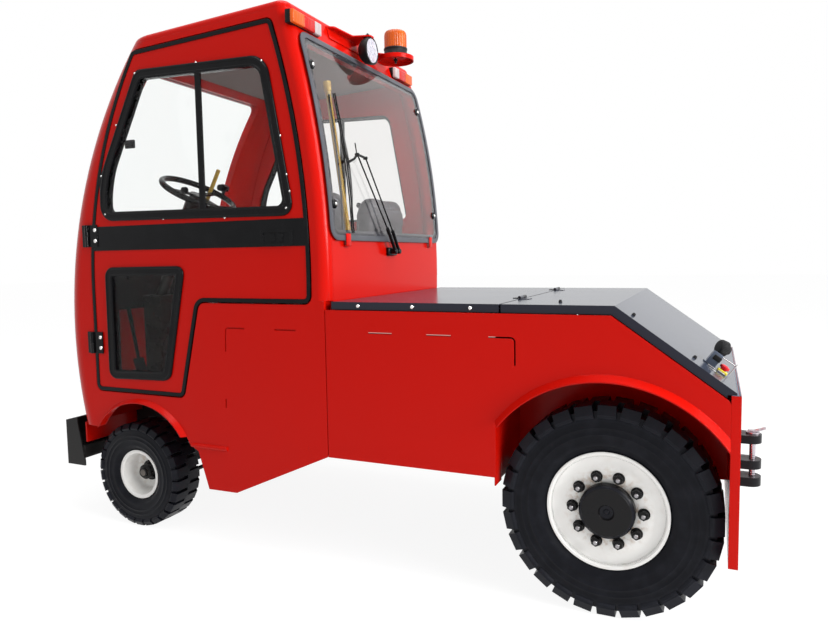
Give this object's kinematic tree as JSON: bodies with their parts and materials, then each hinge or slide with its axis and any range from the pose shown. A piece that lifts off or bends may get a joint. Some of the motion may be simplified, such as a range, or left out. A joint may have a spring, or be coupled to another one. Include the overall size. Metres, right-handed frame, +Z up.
{
  "type": "airport baggage tow tractor",
  "caption": "Compact electric tow tractor with a closed cab, low rear deck on a hinged hood, and a stepped towing jaw with a lift-out pin.",
  "frame": {"origin": "on the floor, under the middle of the overall length and width", "axes": "+X forward, +Y to the vehicle's left, +Z up"},
  "size_m": [3.404, 1.37, 2.559],
  "materials": {
    "battery_case": "steel-cased battery, plain block",
    "black_paint": "satin black paint",
    "black_plastic": "black moulded plastic",
    "bright_steel": "plain steel",
    "clear_glass": "clear safety glass",
    "cream_paint": "cream-white wheel paint",
    "dark_glass": "tinted safety glass",
    "grey_steel": "dark grey paint",
    "head_lens": "clear lamp lens",
    "lamp_lens": "coloured lamp lenses",
    "red_paint": "semi-gloss red paint",
    "seat_cloth": "black seat covering",
    "tyre_rubber": "tyre rubber",
    "yellow_paint": "yellow paint"
  },
  "bodies": {
    "body": {"battery_block": "battery_case", "beacon": "lamp_lens", "cab_floor": "red_paint", "cab_front": "red_paint", "cab_rear": "red_paint", "cab_roof": "red_paint", "cab_side_left": "red_paint", "cab_side_right": "red_paint", "chassis_frame": "black_paint", "dash": "black_plastic", "deck_plate": "grey_steel", "door_hinges": "black_paint", "front_axle": "black_paint", "front_bumper": "black_paint", "grab_post": "yellow_paint", "head_lamps": "head_lens", "hitch_jaws": "black_paint", "hood_hinges": "black_paint", "lamp_bracket": "red_paint", "pedals": "black_paint", "rear_axle": "black_paint", "rear_glass": "dark_glass", "rear_plate": "red_paint", "rear_wiper": "black_plastic", "seat_left": "seat_cloth", "seat_right": "seat_cloth", "side_panel_left": "red_paint", "side_panel_right": "red_paint", "steering_column": "black_plastic", "tail_lamps": "lamp_lens", "wheelhouse_left": "red_paint", "wheelhouse_right": "red_paint", "windscreen": "clear_glass", "work_lamp": "black_plastic"},
    "hood": {"rear_hood": "grey_steel", "stop_switch": "black_plastic"},
    "hitch_pin": {"hitch_pin": "bright_steel"},
    "tie_rod": {"tie_rod": "black_paint"},
    "steering_wheel": {"steering_wheel": "black_plastic"},
    "door_left": {"door_left": "red_paint", "door_trim_left": "black_plastic", "door_glass_left": "clear_glass"},
    "knuckle_left": {"knuckle_left": "black_paint"},
    "front_wheel_left": {"front_hub_left": "black_paint", "front_rim_left": "cream_paint", "front_tyre_left": "tyre_rubber"},
    "rear_wheel_left": {"rear_hub_left": "black_paint", "rear_rim_left": "cream_paint", "rear_tyre_left": "tyre_rubber"},
    "door_right": {"door_right": "red_paint", "door_trim_right": "black_plastic", "door_glass_right": "clear_glass"},
    "knuckle_right": {"knuckle_right": "black_paint"},
    "front_wheel_right": {"front_hub_right": "black_paint", "front_rim_right": "cream_paint", "front_tyre_right": "tyre_rubber"},
    "rear_wheel_right": {"rear_hub_right": "black_paint", "rear_rim_right": "cream_paint", "rear_tyre_right": "tyre_rubber"}
  },
  "joints": [
    {"name": "hood_lift", "type": "hinge", "parent": "body", "child": "hood", "pos_m": [-0.739, 0, 1.193], "axis": [0, 1, 0], "range_deg": [0, 70]},
    {"name": "door_left_swing", "type": "hinge", "parent": "body", "child": "door_left", "pos_m": [1.421, 0.663, 1.2], "axis": [0, 0, -1], "range_deg": [0, 95]},
    {"name": "door_right_swing", "type": "hinge", "parent": "body", "child": "door_right", "pos_m": [1.421, -0.663, 1.2], "axis": [0, 0, 1], "range_deg": [0, 95]},
    {"name": "hitch_pin_lift", "type": "slide", "parent": "body", "child": "hitch_pin", "axis": [0, 0, 1], "range_m": [0, 0.23]},
    {"name": "steer_left", "type": "hinge", "parent": "body", "child": "knuckle_left", "pos_m": [1.221, 0.41, 0.27], "axis": [0, 0, 1], "range_deg": [-35, 35]},
    {"name": "steer_right", "type": "hinge", "parent": "body", "child": "knuckle_right", "pos_m": [1.221, -0.41, 0.27], "axis": [0, 0, 1], "range_deg": [-35, 35]},
    {"name": "tie_rod_swing", "type": "hinge", "parent": "knuckle_left", "child": "tie_rod", "pos_m": [1.111, 0.41, 0.221], "axis": [0, 0, 1], "range_deg": [-35, 35]},
    {"name": "steering_wheel_turn", "type": "hinge", "parent": "body", "child": "steering_wheel", "pos_m": [0.956, 0.36, 1.715], "axis": [-0.4695, 0, 0.8829], "range_deg": [-420, 420]},
    {"name": "rear_wheel_left_spin", "type": "hinge", "parent": "body", "child": "rear_wheel_left", "pos_m": [-1.139, 0.515, 0.407], "axis": [0, 1, 0], "continuous": true},
    {"name": "front_wheel_left_spin", "type": "hinge", "parent": "knuckle_left", "child": "front_wheel_left", "pos_m": [1.221, 0.52, 0.27], "axis": [0, 1, 0], "continuous": true},
    {"name": "rear_wheel_right_spin", "type": "hinge", "parent": "body", "child": "rear_wheel_right", "pos_m": [-1.139, -0.515, 0.407], "axis": [0, 1, 0], "continuous": true},
    {"name": "front_wheel_right_spin", "type": "hinge", "parent": "knuckle_right", "child": "front_wheel_right", "pos_m": [1.221, -0.52, 0.27], "axis": [0, 1, 0], "continuous": true}
  ],
  "couplings": [
    {"joint": "steer_right", "follows": "steer_left", "ratio": 1},
    {"joint": "tie_rod_swing", "follows": "steer_left", "ratio": -1},
    {"joint": "steering_wheel_turn", "follows": "steer_left", "ratio": 12}
  ]
}
